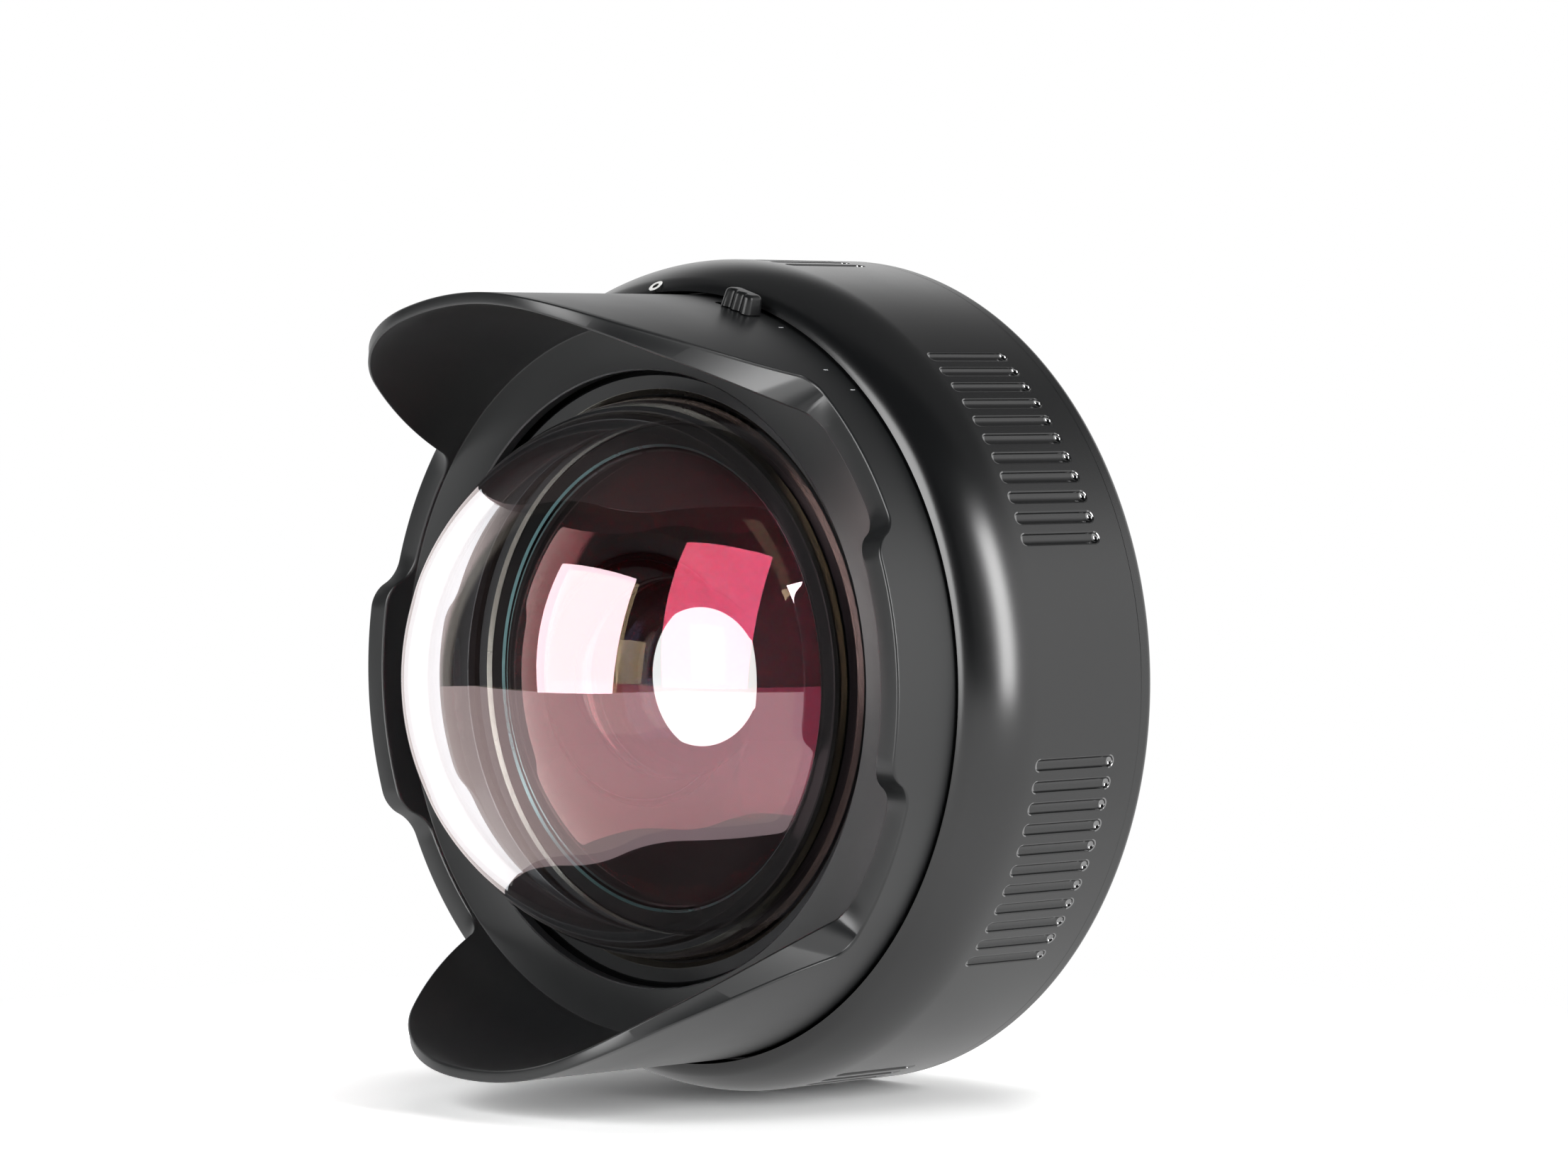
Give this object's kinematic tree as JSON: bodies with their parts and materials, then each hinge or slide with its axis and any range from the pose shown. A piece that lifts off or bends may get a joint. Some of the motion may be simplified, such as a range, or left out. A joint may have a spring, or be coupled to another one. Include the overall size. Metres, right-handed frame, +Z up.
{
  "type": "fisheye conversion port",
  "caption": "Underwater wide conversion port with bulging dome glass, petalled tulip shade on a latched bayonet, rounded float collar with grip grooves and a rear bayonet flange.",
  "frame": {"origin": "on the optical axis, in the plane where the rear flange seats on the camera housing", "axes": "+Y along the optical axis out of the rear mount, the lens looks towards -Y, +Z up with the latch near the top, +X right seen from the back of the lens"},
  "size_m": [0.172, 0.1279, 0.172],
  "materials": {
    "black_anodised": "black anodised, satin",
    "hood_anodised": "dark grey anodised, fine blasted satin",
    "collar_shell": "charcoal moulding, satin",
    "foam": "closed-cell foam",
    "glass": "coated optical glass",
    "seal_rubber": "greased O-ring rubber",
    "mount_ring": "turned stainless steel",
    "stainless": "stainless steel",
    "guide_plastic": "black acetal",
    "latch_pad": "black anodised, satin"
  },
  "bodies": {
    "port": {"port_barrel": "black_anodised", "port_flange": "black_anodised", "flange_seal": "seal_rubber", "front_element": "glass", "front_element_seal": "seal_rubber", "front_retaining_ring": "black_anodised", "lens_cell": "black_anodised", "cell_seal": "seal_rubber", "second_element": "glass", "second_element_cup": "black_anodised", "second_element_ring": "black_anodised", "third_element": "glass", "thin_spacer": "black_anodised", "fourth_element": "glass", "middle_spacer": "black_anodised", "stop_ring": "black_anodised", "rear_spacer": "black_anodised", "rear_element": "glass", "cell_retaining_ring": "black_anodised", "rear_retaining_ring": "black_anodised", "spigot_seal": "seal_rubber", "mount_o_ring": "seal_rubber", "mount_bayonet_ring": "mount_ring", "mount_ring_screws": "stainless", "collar_shell": "collar_shell", "collar_back": "collar_shell", "collar_seal": "seal_rubber", "collar_foam": "foam", "collar_screws": "stainless", "hood_bayonet_ring": "black_anodised"},
    "hood": {"hood": "hood_anodised", "latch_guide": "guide_plastic", "latch_guide_screws": "stainless", "latch_spring": "stainless"},
    "latch_slider": {"latch_slider": "latch_pad"},
    "latch_bolt": {"latch_bolt": "stainless"}
  },
  "joints": [
    {"name": "hood_turn", "type": "hinge", "parent": "port", "child": "hood", "pos_m": [0, 0, 0], "axis": [0, -1, 0], "range_deg": [0, 32]},
    {"name": "latch_slide", "type": "hinge", "parent": "hood", "child": "latch_slider", "pos_m": [0, 0, 0], "axis": [0, -1, 0], "range_deg": [0, 2.6], "stiffness_Nm_per_rad": 2, "springref_deg": -5.73},
    {"name": "bolt_slide", "type": "slide", "parent": "hood", "child": "latch_bolt", "axis": [0, -1, 0], "range_m": [0, 0.002], "deforming": ["latch_spring"]}
  ],
  "couplings": [
    {"joint": "bolt_slide", "follows": "latch_slide", "m_per_rad": 0.04407}
  ]
}
